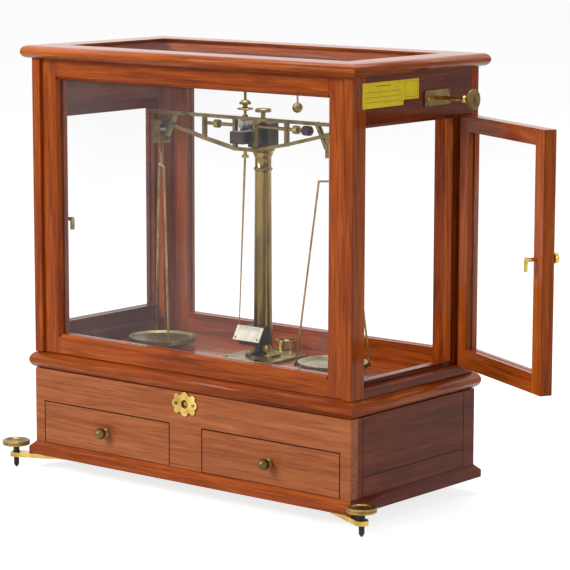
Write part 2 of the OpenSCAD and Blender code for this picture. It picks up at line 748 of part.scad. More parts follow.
module column_base_plate() in_case() color(brass) difference() {
    translate([0, column_y, z_floor]) linear_extrude(height = column_plate_t)
        square([column_plate_w, column_plate_d], center = true);
    rod_z(lift_d + 2, z_floor - 1, z_plate + 1, 0, column_y);
    for (side = [-1, 1], end = [-1, 1]) rod_z(3, z_floor - 1, z_plate + 1,
        side * (column_plate_w / 2 - base_screw_inset), column_y + end * (column_plate_d / 2 - base_screw_inset));
}

capital_h = 9;
ring_z = 23;
module column() in_case() color(brass) translate([0, column_y, 0]) rotate_extrude() {
    r0 = lift_d / 2 + fit;
    polygon([
        [r0, z_plate], [column_foot_d / 2, z_plate], [column_foot_d / 2, z_plate + 2.4],
        [column_foot_d / 2 - 1.5, z_plate + 3.6], [column_foot_d / 2 - 6, z_plate + 5],
        [shaft_d1 / 2 + 1.4, z_plate + 8], [shaft_d1 / 2, z_plate + 12],
        [shaft_d2 / 2, z_column - ring_z - 2], [shaft_d2 / 2 + 1.35, z_column - ring_z - 0.8],
        [shaft_d2 / 2 + 1.35, z_column - ring_z + 0.8], [shaft_d2 / 2, z_column - ring_z + 2],
        [shaft_d2 / 2, z_column - capital_h - 2], [shaft_d2 / 2 + 1, z_column - capital_h],
        [capital_d / 2 - 1.5, z_column - 4], [capital_d / 2, z_column - 3], [capital_d / 2, z_column],
        [r0, z_column]
    ]);
}

// The head carries an arm that reaches forward through the beam's middle window
bearing_z0 = 13;
bearing_reach = 15;
agate_t = 4;
agate_w = 15;
agate_l = 20;
module bearing_head() in_case() color(dark_metal) difference() {
    union() {
        block(-head_w / 2, head_w / 2, column_y - head_d / 2, column_y + head_d / 2, z_column, z_head);
        block(-bearing_w / 2, bearing_w / 2, beam_y - bearing_reach, column_y - head_d / 2 + 1,
              z_pivot - bearing_z0, z_pivot);
    }
    rod_z(lift_d + 2 * fit, z_column - 1, z_column + lift_seat, 0, column_y);
    rod_z(thumb_pin_d + 2 * fit, z_head - thumb_pin_l - 1, z_head + 1, 0, column_y);
    agate_block();
}

module agate_block() block(-agate_w / 2, agate_w / 2, beam_y - agate_l / 2, beam_y + agate_l / 2,
                           z_pivot - agate_t, z_pivot);

module agate_plane() in_case() color(ivory) agate_block();

thumb_pin_d = 4;
thumb_pin_l = 10;
thumb_h = 15;
module thumb_knob() in_case() color(dark_metal) translate([0, column_y, z_head]) rotate_extrude() polygon([
    [0, -thumb_pin_l], [thumb_pin_d / 2, -thumb_pin_l], [thumb_pin_d / 2, face_gap], [3.6, face_gap],
    [2.6, 3], [2.6, thumb_h - 5], [4, thumb_h - 4], [thumb_d / 2, thumb_h - 4],
    [thumb_d / 2, thumb_h - 1], [thumb_d / 2 - 1, thumb_h], [0, thumb_h]
]);

// Beam: a trussed outline in the XZ plane, about its middle knife edge

module bar(a, b, w) {
    length = norm(b - a);
    translate(a) rotate(atan2(b[1] - a[1], b[0] - a[0])) translate([-w / 2, -w / 2]) square([length + w, w]);
}

rise = 13.4;
sink = -19.8;
strut_in = 14;
strut_out = 57;
end_top = 98;
carrier_z = -10;
module beam_outline() {
    bar([-beam_l / 2 + bar_w / 2, rise], [beam_l / 2 - bar_w / 2, rise], bar_w);
    bar([-strut_in, sink], [strut_in, sink], bar_w);
    for (side = [-1, 1]) {
        bar([side * strut_in, sink], [side * strut_in, rise], bar_w);
        bar([side * strut_out, sink + 8.7], [side * strut_out, rise], bar_w);
        bar([side * strut_in, sink], [side * strut_out, sink + 8.7], bar_w);
        bar([side * strut_out, sink + 8.7], [side * (end_top + 4), 0], bar_w);
        bar([side * end_top, rise], [side * (knife_x - 10), carrier_z], bar_w);
        bar([side * (knife_x - 10), carrier_z], [side * knife_x, carrier_z], bar_w);
    }
}

// Height of the adjusting rod above the pivot, and the post of the gravity bob
rod_z0 = 5.4;
bob_post_d = 3;
bob_post_h = 28;
module beam() in_case() color(brass) difference() {
    translate([0, beam_y, z_pivot]) {
        rotate([90, 0, 0]) linear_extrude(height = beam_t, center = true) beam_outline();
        translate([0, 0, rise]) cylinder(d = bob_post_d, h = bob_post_h);
        translate([0, 0, rise + bar_w / 2]) cylinder(d = 6, h = 2);
    }
    rod_x(rod_d, strut_out - bar_w, strut_out + bar_w, beam_y, z_pivot + rod_z0);
}

// Steel knives: the middle one points down, the end ones up
knife_gap = 0.15;
middle_knife_l = 16;
end_knife_l = 12;
module beam_knives() in_case() color(steel) translate([0, beam_y, z_pivot]) rotate([90, 0, 0]) {
    base = rise - bar_w / 2;
    linear_extrude(height = middle_knife_l, center = true)
        polygon([[0, knife_gap], [3.5, 6], [3.5, base], [-3.5, base], [-3.5, 6]]);
    seat = carrier_z + bar_w / 2;
    for (side = [-1, 1]) translate([side * knife_x, 0]) linear_extrude(height = end_knife_l, center = true)
        polygon([[0, 0], [2.6, -4], [2.6, seat], [-2.6, seat], [-2.6, -4]]);
}

// Threaded rod in two lengths, either side of the head's arm, with a knurled end on the right
knurl_d = 10;
knurl_x = 80;
knurl_l = 9;
rod_tip = 3;
module adjusting_rod() in_case() color(steel) {
    inner = strut_in + bar_w / 2;
    z = z_pivot + rod_z0;
    rod_x(rod_d, -strut_out + bar_w / 2, -inner, beam_y, z);
    rod_x(rod_d, inner, knurl_x + knurl_l + rod_tip, beam_y, z);
    rod_x(knurl_d, knurl_x, knurl_x + knurl_l, beam_y, z);
}

nut_l = 6;
module balance_nut(x) translate([x, beam_y, z_pivot + rod_z0]) rotate([0, 90, 0]) difference() {
    translate([0, 0, -nut_l / 2]) cylinder(d = nut_d, h = nut_l);
    translate([0, 0, -nut_l]) cylinder(d = rod_d + 2 * fit, h = 2 * nut_l);
}
nut_left_x = -39;
nut_right_x = 70;
module balance_nut_left() in_case() color(brass) balance_nut(nut_left_x);
module balance_nut_right() in_case() color(brass) balance_nut(nut_right_x);

// Two discs on the threaded post above the beam
module gravity_bob() in_case() color(brass) translate([0, beam_y, z_pivot]) difference() {
    rotate_extrude() polygon([
        [0, 21.5], [8.75, 21.5], [8.75, 26], [7.6, 27], [3, 27], [3, 29.5], [6.5, 29.5], [6.5, 33.5], [0, 33.5]
    ]);
    translate([0, 0, 20]) cylinder(d = bob_post_d + 2 * fit, h = 15);
}

pointer_collar_d = 7.5;
module pointer() in_case() color(brass) translate([0, beam_y, z_chord - bar_w / 2]) {
    translate([0, 0, -6]) cylinder(d = pointer_collar_d / 2, h = 6);
    translate([0, 0, -7]) cylinder(d = pointer_collar_d, h = 3);
    rotate([atan2(pointer_crank, pointer_l) * -1, 0, 0]) translate([0, 0, -pointer_l])
        cylinder(d1 = 1.1, d2 = 2.6, h = pointer_l - 4);
}

// Scale and its bracket, which stands against the column

module scale_plate() in_case() color(ivory) translate([0, beam_y, z_floor + scale_z]) rotate([90 - scale_lean, 0, 0])
    difference() {
        translate([-scale_w / 2, 0, -scale_t]) cube([scale_w, scale_h, scale_t]);
        for (side = [-1, 1]) translate([side * (scale_w / 2 - 3), 3, -scale_t - 1]) cylinder(d = 1.6, h = scale_t + 2);
    }

bracket_w = 26;
module scale_bracket() in_case() color(dark_metal) difference() {
    back = column_y - 4;
    translate([0, beam_y, z_floor + scale_z]) rotate([90, 0, 90]) linear_extrude(height = bracket_w, center = true)
        polygon([
            [scale_t * cos(scale_lean), -scale_t * sin(scale_lean)],
            [scale_h * sin(scale_lean) + scale_t * cos(scale_lean), scale_h * cos(scale_lean) - scale_t * sin(scale_lean)],
            [back - beam_y, scale_h * cos(scale_lean) - scale_t * sin(scale_lean)], [back - beam_y, -6], [6, -6]
        ]);
    rod_z(shaft_d1 + 0.2, z_floor, z_column, 0, column_y);
}

// Stirrups, bows and pans, given about the right end knife

stirrup_w = 10;
stirrup_half = 8.5;
cheek_t = 1.5;
module stirrup() translate([knife_x, beam_y, 0]) {
    block(-8, 8, -stirrup_half, stirrup_half, z_pivot + 0.2, z_pivot + 5);
    for (side = [-1, 1]) translate([0, side * (stirrup_half - cheek_t / 2), 0])
        block(-stirrup_w / 2, stirrup_w / 2, -cheek_t / 2, cheek_t / 2, z_stirrup_foot, z_pivot + 1);
    block(-stirrup_w / 2, stirrup_w / 2, -stirrup_half, stirrup_half, z_stirrup_foot, z_stirrup_foot + 2.5);
    translate([0, 0, z_ring_a]) rotate([90, 0, 0]) ring();
}

module ring() rotate_extrude() translate([ring_r, 0]) circle(d = ring_wire, $fn = 24);

foot_r = pan_d / 2 + 0.4 + wire_d / 2;
module pan_bow(turn) translate([knife_x, beam_y, 0]) {
    translate([0, 0, z_ring_b]) rotate([0, 90, 0]) ring();
    translate([0, 0, z_bow]) cylinder(d = wire_d + 0.6, h = z_ring_b - ring_r - z_bow + 0.4);
    rotate([0, 0, turn]) {
        translate([-bow_top_w / 2, 0, z_bow]) rotate([0, 90, 0]) cylinder(d = wire_d, h = bow_top_w);
        for (side = [-1, 1]) {
            translate([side * bow_top_w / 2, 0, z_bow]) sphere(d = wire_d + 0.5);
            bow_leg(side);
            bow_lug(side);
        }
    }
}

module bow_leg(side) {
    top = [side * bow_top_w / 2, 0, z_bow];
    low = [side * foot_r, 0, z_rim - 2];
    length = norm(top - low);
    translate(low) rotate([0, side * atan2(bow_top_w / 2 - foot_r, z_bow - z_rim + 2), 0]) cylinder(d = wire_d, h = length);
}

lug_w = 5;
lug_h = 5;
module bow_lug(side) difference() {
    block(side * foot_r - 2.2, side * foot_r + 1.6, -lug_w / 2, lug_w / 2, z_rim - lug_h, z_rim - 0.4);
    rod_z(pan_d + 0.04, z_pan - 1, z_rim + 1, 0, 0);
}

module pan() translate([knife_x, beam_y, 0]) rotate_extrude() polygon([
    [0, z_pan], [pan_d / 2 - 6, z_pan], [pan_d / 2 - 3, z_pan + 1], [pan_d / 2, z_rim - lug_h],
    [pan_d / 2, z_rim], [pan_d / 2 - 1.6, z_rim], [pan_d / 2 - 4.5, z_rim - pan_dish], [0, z_rim - pan_dish]
]);

module left_stirrup() in_case() color(dark_metal) mirror([1, 0, 0]) stirrup();
module right_stirrup() in_case() color(dark_metal) stirrup();
module left_pan_bow() in_case() color(brass) mirror([1, 0, 0]) pan_bow(bow_turn);
module right_pan_bow() in_case() color(brass) pan_bow(bow_turn);
module left_pan() in_case() color(brass) mirror([1, 0, 0]) pan();
module right_pan() in_case() color(brass) pan();

// Rider: a rod that slides through the right side, with an arm inside

module rider_plate() in_case() color(brass) difference() {
    block(half_w, half_w + plate_t, rider_y - rider_plate_w / 2, rider_y + rider_plate_w / 2,
          z_rider - rider_plate_h / 2, z_rider + rider_plate_h / 2);
    rod_x(rider_d + 2 * fit, half_w - 1, half_w + plate_t + 1, rider_y, z_rider);
    for (side = [-1, 1])
        rod_x(2.2, half_w - 1, half_w + plate_t + 1, rider_y + side * (rider_plate_w / 2 - 5), z_rider);
}

// One turned length: the rod, a bulb and the disc knob at its end
rider_knob_d = 22;
rider_bulb_r = 4;
rider_tail = 5;
module rider_rod() in_case() color(brass) translate([rider_arm_x - rider_tail, rider_y, z_rider]) {
    knob_z = half_w + rider_out - 4 - rider_arm_x + rider_tail;
    bulb_z = knob_z - 7;
    rotate([0, 90, 0]) rotate_extrude() polygon(concat(
        [[0, 0], [rider_d / 2, 0]],
        [for (a = [-60:15:60]) [rider_bulb_r * cos(a), bulb_z + rider_bulb_r * sin(a)]],
        [[rider_d / 2, knob_z], [4, knob_z], [rider_knob_d / 2 - 0.8, knob_z + 1.4], [rider_knob_d / 2, knob_z + 2.2],
         [rider_knob_d / 2, knob_z + 4.6], [rider_knob_d / 2 - 0.8, knob_z + 5.4], [0, knob_z + 5.4]]
    ));
}

rider_collar_l = 6;
module rider_arm() in_case() color(brass) translate([rider_arm_x, rider_y, z_rider]) {
    difference() {
        translate([-rider_collar_l / 2, 0, 0]) rotate([0, 90, 0]) cylinder(d = rider_d + 3, h = rider_collar_l);
        translate([-rider_collar_l, 0, 0]) rotate([0, 90, 0]) cylinder(d = rider_d + 2 * fit, h = 2 * rider_collar_l);
    }
    translate([0, 0, -rider_ball_drop]) cylinder(d = 2, h = rider_ball_drop - rider_d / 2 - 0.8);
    translate([0, 0, -rider_ball_drop]) sphere(d = rider_ball_d);
}

// Bull's-eye level on the floor behind the column's plate

level_x0 = -7;
level_gap = 1;
level_y0 = column_y + column_plate_d / 2 + level_d / 2 + level_gap;
cup_wall = 2;
level_glass_t = 3;
module level_cup() in_case() color(brass) translate([level_x0, level_y0, z_floor]) difference() {
    cylinder(d = level_d, h = level_h);
    translate([0, 0, 3]) cylinder(d = level_d - 2 * cup_wall, h = level_h);
}

module level_glass() in_case() color(clear_glass) translate([level_x0, level_y0, z_floor + 3])
    cylinder(d = level_d - 2 * cup_wall, h = level_h - 3 - 0.4);

base_board();
plinth_front();
plinth_walls();
drawer_guides();
dust_board();
deck_board();
corner_posts();
side_rails();
back_frame();
front_frame();
fixed_panes();
top_frame();
left_door_frame();
left_door_glass();
right_door_frame();
right_door_glass();
case_hinge_leaves();
left_door_leaves();
right_door_leaves();
hinge_pins();
left_catch();
right_catch();
left_drawer();
right_drawer();
left_drawer_knob();
right_drawer_knob();
escutcheon_plate();
screws();
arrest_spindle();
arrest_bearing();
lift_rod();
levelling_arms();
levelling_screw_left();
levelling_screw_right();
rear_foot();
column_base_plate();
column();
bearing_head();
agate_plane();
thumb_knob();
beam();
beam_knives();
adjusting_rod();
balance_nut_left();
balance_nut_right();
gravity_bob();
pointer();
scale_plate();
scale_bracket();
left_stirrup();
right_stirrup();
left_pan_bow();
right_pan_bow();
left_pan();
right_pan();
rider_plate();
rider_rod();
rider_arm();
level_cup();
level_glass();
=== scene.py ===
"""Looks of the prescription balance: polished mahogany case, clear panes and aged brass works."""
import json
import math

import bmesh
import bpy
from mathutils import Matrix, Vector


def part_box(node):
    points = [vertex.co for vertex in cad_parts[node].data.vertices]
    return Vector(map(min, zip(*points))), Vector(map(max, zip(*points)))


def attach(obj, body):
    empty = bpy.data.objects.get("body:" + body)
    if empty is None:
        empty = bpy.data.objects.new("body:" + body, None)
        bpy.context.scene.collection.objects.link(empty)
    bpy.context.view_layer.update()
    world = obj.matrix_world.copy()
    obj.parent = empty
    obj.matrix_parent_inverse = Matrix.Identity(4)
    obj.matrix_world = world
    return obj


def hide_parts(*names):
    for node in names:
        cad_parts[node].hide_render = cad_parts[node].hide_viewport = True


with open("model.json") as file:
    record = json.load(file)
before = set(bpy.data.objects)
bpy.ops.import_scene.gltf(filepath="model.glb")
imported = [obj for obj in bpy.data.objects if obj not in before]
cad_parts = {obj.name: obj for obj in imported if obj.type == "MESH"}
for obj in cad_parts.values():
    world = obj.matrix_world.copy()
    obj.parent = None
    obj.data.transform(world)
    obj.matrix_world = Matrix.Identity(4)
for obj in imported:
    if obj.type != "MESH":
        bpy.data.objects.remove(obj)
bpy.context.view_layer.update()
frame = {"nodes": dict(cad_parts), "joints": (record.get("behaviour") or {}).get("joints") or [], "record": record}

nodes = frame["nodes"]
body_of_node = {n: b for b, ns in frame["record"]["behaviour"]["bodies"].items() for n in ns}
joints = {j["name"]: j for j in frame["joints"]}
MM = 0.001
WELD = 1e-6  # metres within which two vertices are one
FLAT_ANGLE = 0.5  # degrees within which two faces are one flat face
SMOOTH_ANGLE = 35  # degrees under which an edge is shaded smooth
RIM_ANGLE = 45  # degrees over which a rim's edge counts as sharp

# The photograph's camera, from the case's corners
CAMERA_AT = Vector((1.7485, -2.1695, 0.6478))
CAMERA_YAW = 39.446
CAMERA_PITCH = -9.029
CAMERA_ROLL = 0.081
SENSOR = 36.0
FRAME_PX = 570.0
FOCAL_PX = 2561.75
CENTRE_X_PX = 271.7


def make_camera():
    data = bpy.data.cameras.new("camera")
    data.sensor_width = SENSOR
    data.lens = FOCAL_PX / FRAME_PX * SENSOR
    data.shift_x = (FRAME_PX / 2 - CENTRE_X_PX) / FRAME_PX
    camera = bpy.data.objects.new("camera", data)
    bpy.context.scene.collection.objects.link(camera)
    yaw = Matrix.Rotation(math.radians(CAMERA_YAW), 4, "Z")
    pitch = Matrix.Rotation(math.radians(90 + CAMERA_PITCH), 4, "X")
    roll = Matrix.Rotation(math.radians(CAMERA_ROLL), 4, "Z")
    camera.matrix_world = Matrix.Translation(CAMERA_AT) @ yaw @ pitch @ roll
    bpy.context.scene.camera = camera


make_camera()


# Materials

class Shader:
    """A material's node tree, with short calls for the nodes used here."""

    def __init__(self, name):
        self.mat = bpy.data.materials.new(name)
        self.mat.use_nodes = True
        self.tree = self.mat.node_tree
        self.bsdf = self.tree.nodes["Principled BSDF"]

    def node(self, kind, **values):
        made = self.tree.nodes.new(kind)
        for key, value in values.items():
            setattr(made, key, value)
        return made

    def link(self, source, target):
        self.tree.links.new(source, target)

    def put(self, value, socket):
        if isinstance(value, (int, float, tuple)):
            socket.default_value = value
        else:
            self.link(value, socket)

    def coords(self, turn=0.0, pivot=(0, 0, 0), scale=(1, 1, 1), shift=(0, 0, 0)):
        """Object coordinates turned back about a vertical axis, then shifted and scaled."""
        out = self.node("ShaderNodeTexCoord").outputs["Object"]
        if turn:
            back = self.node("ShaderNodeMapping", vector_type="TEXTURE")
            back.inputs["Location"].default_value = pivot
            back.inputs["Rotation"].default_value = (0, 0, math.radians(turn))
            self.link(out, back.inputs["Vector"])
            out = back.outputs["Vector"]
        place = self.node("ShaderNodeMapping")
        place.inputs["Location"].default_value = shift
        place.inputs["Scale"].default_value = scale
        self.link(out, place.inputs["Vector"])
        return place.outputs["Vector"]

    def noise(self, vector, scale, detail=4.0, rough=0.55, distortion=0.0):
        made = self.node("ShaderNodeTexNoise")
        made.inputs["Scale"].default_value = scale
        made.inputs["Detail"].default_value = detail
        made.inputs["Roughness"].default_value = rough
        made.inputs["Distortion"].default_value = distortion
        self.link(vector, made.inputs["Vector"])
        return made.outputs["Fac"]

    def ramp(self, value, *stops):
        made = self.node("ShaderNodeValToRGB")
        elements = made.color_ramp.elements
        while len(elements) < len(stops):
            elements.new(0.5)
        for element, (place, colour) in zip(elements, stops):
            element.position = place
            element.color = (*colour, 1)
        self.link(value, made.inputs["Fac"])
        return made.outputs["Color"]

    def math(self, operation, a, b):
        made = self.node("ShaderNodeMath", operation=operation)
        self.put(a, made.inputs[0])
        self.put(b, made.inputs[1])
        return made.outputs["Value"]

    def span(self, value, low, high, to_low, to_high):
        made = self.node("ShaderNodeMapRange")
        ends = {"From Min": low, "From Max": high, "To Min": to_low, "To Max": to_high}
        for name, number in ends.items():
            made.inputs[name].default_value = number
        self.link(value, made.inputs["Value"])
        return made.outputs["Result"]

    def mix(self, factor, a, b, blend="MIX"):
        made = self.node("ShaderNodeMix", data_type="RGBA", blend_type=blend)
        self.put(factor, made.inputs[0])
        self.put(a, made.inputs[6])
        self.put(b, made.inputs[7])
        return made.outputs[2]

    def bump(self, height, strength, distance):
        made = self.node("ShaderNodeBump")
        made.inputs["Strength"].default_value = strength
        made.inputs["Distance"].default_value = distance
        self.link(height, made.inputs["Height"])
        self.link(made.outputs["Normal"], self.bsdf.inputs["Normal"])

    def set(self, **values):
        for name, value in values.items():
            self.put(value, self.bsdf.inputs[name.replace("_", " ")])


def srgb(r, g, b):
    """A colour read as 0 to 255 in the picture, as linear values with alpha."""
    def linear(c):
        c /= 255
        return c / 12.92 if c <= 0.04045 else ((c + 0.055) / 1.055) ** 2.4
    return (linear(r), linear(g), linear(b), 1.0)


def shade(colour, factor):
    """A darker colour, with alpha."""
    return (*[c * factor for c in colour[:3]], 1.0)


# Grain runs along one axis: fibres are long that way and fine across it
GRAIN_SCALE = {"x": (3, 60, 60), "y": (60, 3, 60), "z": (60, 60, 3)}
PORE_SCALE = {"x": (14, 420, 420), "y": (420, 14, 420), "z": (420, 420, 14)}
WOOD_TONES = {
    "case": (srgb(108, 40, 9), srgb(166, 75, 20), srgb(206, 108, 36)),
    # dark: the case mahogany with painted shade, as the shaded right side looks; used on side, back and foot
    # members
    "dark": (srgb(74, 27, 9), srgb(116, 46, 16), srgb(150, 70, 26)),
    # drawer: the front mahogany painted paler and pinker with a sheen of the pale floor's reflection; used on the
    # plinth front and the drawer fronts
    "drawer": (srgb(140, 72, 36), srgb(184, 104, 60), srgb(208, 128, 78)),
    # grime: very dark mahogany, painted shade for the gaps around the drawers
    "grime": (srgb(30, 13, 6), srgb(46, 20, 10), srgb(62, 28, 14)),
    "raw": (srgb(134, 98, 62), srgb(170, 132, 90), srgb(192, 156, 112)),
}
FIBRE_SHARE = 0.66  # of the figure, the rest being the broad ribbons
PORE_DEPTH = 0.55
PORE_SHADE = 0.45
PATCH_DEPTH = 0.22
PATCH_SHADE = 0.55
WOOD_ROUGH = (0.22, 0.38)
WOOD_SPECULAR = 0.06
COAT_WEIGHT = 0.6
COAT_IOR = 1.2
COAT_ROUGH = 0.08
wood_cache = {}


def wood(grain, tone="case", seed=0, turn=0.0, pivot=(0, 0, 0)):
    """Polished mahogany with ribbon figure, fibres and open pores along its grain."""
    key = (grain, tone, seed, turn)
    if key in wood_cache:
        return wood_cache[key]
    s = Shader(f"wood_{tone}_{grain}_{seed}_{round(turn)}")
    shift = (seed * 1.37, seed * 2.11, seed * 0.83)
    flow = s.coords(turn, pivot, GRAIN_SCALE[grain], shift)
    broad = s.noise(flow, 0.9, 3, 0.5, 0.5)
    fibre = s.noise(flow, 4.6, 5, 0.62, 0.7)
    fine = s.noise(s.coords(turn, pivot, PORE_SCALE[grain], shift), 1.0, 3, 0.7)
    dark, middle, light = (c[:3] for c in WOOD_TONES[tone])
    figure = s.math("ADD", s.math("MULTIPLY", fibre, FIBRE_SHARE),
                    s.math("MULTIPLY", broad, 1 - FIBRE_SHARE))
    base = s.ramp(figure, (0.3, dark), (0.5, middle), (0.7, light))
    pores = s.span(fine, 0.52, 0.72, 0.0, PORE_DEPTH)
    colour = s.mix(pores, base, shade(dark, PORE_SHADE))
    patch = s.noise(s.coords(turn, pivot, (4, 4, 4), shift), 1.5, 2)
    colour = s.mix(s.span(patch, 0.35, 0.7, 0.0, PATCH_DEPTH), colour, shade(dark, PATCH_SHADE))
    s.set(Base_Color=colour, Roughness=s.span(fine, 0.3, 0.75, *WOOD_ROUGH),
          Specular_IOR_Level=WOOD_SPECULAR, Coat_Weight=COAT_WEIGHT, Coat_IOR=COAT_IOR,
          Coat_Roughness=COAT_ROUGH)
    s.bump(fine, 0.12, 0.0004)
    wood_cache[key] = s.mat
    return s.mat


SPOT_DEPTH = 0.5
SPOT_SHADE = 0.35


def metal(name, dull, bright, rough=(0.2, 0.42), scale=60, metallic=1.0, streak=(1, 1, 1)):
    """Aged metal: a clouded tone with darker spots and uneven gloss."""
    s = Shader(name)
    cloud = s.noise(s.coords(scale=streak), scale, 5, 0.6)
    spot = s.noise(s.coords(), scale * 6, 3, 0.6)
    colour = s.ramp(cloud, (0.32, dull[:3]), (0.62, bright[:3]))
    colour = s.mix(s.span(spot, 0.6, 0.75, 0.0, SPOT_DEPTH), colour, shade(dull, SPOT_SHADE))
    smooth_rough, dull_rough = rough
    s.set(Base_Color=colour, Metallic=metallic,
          Roughness=s.span(cloud, 0.3, 0.7, dull_rough, smooth_rough))
    s.bump(spot, 0.06, 0.0003)
    return s.mat


brass = metal("brass", srgb(112, 92, 48), srgb(168, 142, 82))
brass_bright = metal("brass_bright", srgb(170, 138, 66), srgb(222, 192, 112), rough=(0.14, 0.3))
brass_dark = metal("brass_dark", srgb(84, 68, 38), srgb(130, 108, 64), rough=(0.25, 0.5))
# The column's brass cloud is stretched upright into light and dark streaks: painted highlights and dark
# reflections running up the column.
brass_streak_sheen = metal("brass_streak_sheen", srgb(88, 70, 32), srgb(146, 120, 60),
                     rough=(0.14, 0.26), scale=9, streak=(9, 9, 1))
brass_pan = metal("brass_pan", srgb(112, 98, 64), srgb(160, 146, 106), rough=(0.24, 0.42), scale=30)
bronze = metal("bronze", srgb(34, 30, 28), srgb(66, 58, 52), rough=(0.3, 0.5), metallic=0.9)
steel = metal("steel", srgb(96, 94, 92), srgb(160, 158, 154), rough=(0.22, 0.4))
iron_blue = metal("iron_blue", srgb(22, 26, 34), srgb(46, 52, 64), rough=(0.35, 0.5), metallic=0.6)


def glass_material():
    s = Shader("window_glass")
    film = s.noise(s.coords(), 9, 3)
    s.set(Base_Color=srgb(236, 240, 244), Roughness=0.03, IOR=1.5,
          Alpha=s.span(film, 0.35, 0.8, 0.02, 0.05))
    wave = s.noise(s.coords(), 14, 1)
    s.bump(wave, 0.02, 0.002)
    return s.mat


def ivory_material(name, pale, deep):
    s = Shader(name)
    vein = s.noise(s.coords(scale=(40, 40, 12)), 3, 4, 0.6, 0.5)
    s.set(Base_Color=s.ramp(vein, (0.35, deep[:3]), (0.6, pale[:3])),
          Roughness=s.span(vein, 0.3, 0.7, 0.3, 0.45))
    s.bump(vein, 0.05, 0.0003)
    return s.mat


def paper_material(name, pale, deep, rough=0.6):
    s = Shader(name)
    fibre = s.noise(s.coords(), 900, 4, 0.7)
    cloud = s.noise(s.coords(), 40, 3)
    clouded = s.ramp(cloud, (0.35, deep[:3]), (0.65, pale[:3]))
    colour = s.mix(s.span(fibre, 0.4, 0.7, 0, 0.4), clouded, deep)
    s.set(Base_Color=colour, Roughness=rough)
    s.bump(fibre, 0.15, 0.0002)
    return s.mat


glass = glass_material()
ivory = ivory_material("ivory", srgb(240, 236, 222), srgb(214, 206, 184))
agate = ivory_material("agate", srgb(236, 234, 230), srgb(206, 204, 204))
paper = paper_material("label_paper", srgb(250, 226, 12), srgb(234, 206, 8))
ink = paper_material("label_ink", srgb(56, 50, 18), srgb(40, 36, 12), 0.5)
# Dark ink for the scale's ticks; the same material is painted shade inside the screw slots and the old screw hole.
ink_and_recess_shade = paper_material("tick_ink_and_recess_shade", srgb(30, 28, 28), srgb(18, 18, 20), 0.5)


# Helpers that make pieces

def add_object(name, mesh, body, materials):
    piece = bpy.data.objects.new(name, mesh)
    bpy.context.scene.collection.objects.link(piece)
    for material in materials:
        mesh.materials.append(material)
    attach(piece, body)
    return piece


def smooth(mesh, angle=SMOOTH_ANGLE):
    mesh.shade_smooth()
    mesh.set_sharp_from_angle(angle=math.radians(angle))


def dress(node, materials, bevel=0.5, pick=None, cuts=(), angle=SMOOTH_ANGLE, rim=None):
    """A finished copy of a CAD node: softened edges, and a material for each of its members.

    A rim is a test for edges and a width in millimetres: those edges are chamfered in material 1.
    """
    body = body_of_node[node]
    mesh = nodes[node].data.copy()
    mesh.materials.clear()
    bm = bmesh.new()
    bm.from_mesh(mesh)
    bmesh.ops.remove_doubles(bm, verts=bm.verts, dist=WELD)
    bmesh.ops.dissolve_limit(bm, angle_limit=math.radians(FLAT_ANGLE),
                             verts=bm.verts, edges=bm.edges)
    for point, normal in cuts:
        geometry = bm.verts[:] + bm.edges[:] + bm.faces[:]
        bmesh.ops.bisect_plane(bm, geom=geometry, plane_co=point, plane_no=normal, dist=WELD)
    if pick:
        for face in bm.faces:
            face.material_index = pick(face.calc_center_median(), face.normal)
    if rim:
        test, width = rim
        edges = [edge for edge in bm.edges if all(test(vert.co) for vert in edge.verts)
                 and edge.calc_face_angle(0) > math.radians(RIM_ANGLE)]
        bmesh.ops.bevel(bm, geom=edges, offset=width * MM, segments=1, affect="EDGES", material=1)
    bm.to_mesh(mesh)
    bm.free()
    if mesh.has_custom_normals:
        mesh.normals_split_custom_set([(0, 0, 0)] * len(mesh.loops))
    smooth(mesh, angle)
    piece = add_object("look_" + node, mesh, body, materials)
    if bevel:
        soften = piece.modifiers.new("soften", "BEVEL")
        soften.width = bevel * MM
        soften.segments = 2
        soften.limit_method = "ANGLE"
        soften.angle_limit = math.radians(angle)
        soften.harden_normals = True
        soften.use_clamp_overlap = True
    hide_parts(node)
    return piece


def lathe(name, profile, body, material, at, axis="z", steps=96, angle=30):
    """A turned piece from (radius, height) points in millimetres."""
    bm = bmesh.new()
    rings = []
    for radius, height in profile:
        if not radius:
            rings.append([bm.verts.new((0, 0, height * MM))])
            continue
        rings.append([
            bm.verts.new((radius * MM * math.cos(2 * math.pi * i / steps),
                          radius * MM * math.sin(2 * math.pi * i / steps), height * MM))
            for i in range(steps)
        ])
    for low, high in zip(rings, rings[1:]):
        for i in range(steps):
            j = (i + 1) % steps
            corners = [low[i % len(low)], low[j % len(low)],
                       high[j % len(high)], high[i % len(high)]]
            corners = list(dict.fromkeys(corners))
            if len(corners) > 2:
                bm.faces.new(corners)
    bmesh.ops.recalc_face_normals(bm, faces=bm.faces)
    mesh = bpy.data.meshes.new(name)
    bm.to_mesh(mesh)
    bm.free()
    turn = Matrix.Rotation(math.pi / 2, 4, "Y") if axis == "x" else Matrix.Identity(4)
    mesh.transform(Matrix.Translation(at) @ turn)
    smooth(mesh, angle)
    return add_object(name, mesh, body, [material])


# Case

def mitre_pick(node):
    """Front and back members are material 0 and side members material 1, split at the mitres."""
    low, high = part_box(node)
    middle = (low + high) / 2
    half = (high - low) / 2

    def pick(centre, normal):
        side = abs(centre.x - middle.x) - half.x
        front = abs(centre.y - middle.y) - half.y
        return 1 if side > front else 0
    return pick


def mitre_cuts(node):
    low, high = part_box(node)
    cuts = []
    for x, sx in ((low.x, -1), (high.x, 1)):
        for y, sy in ((low.y, -1), (high.y, 1)):
            cuts.append((Vector((x, y, 0)), Vector((-sx, sy, 0)).normalized()))
    return cuts


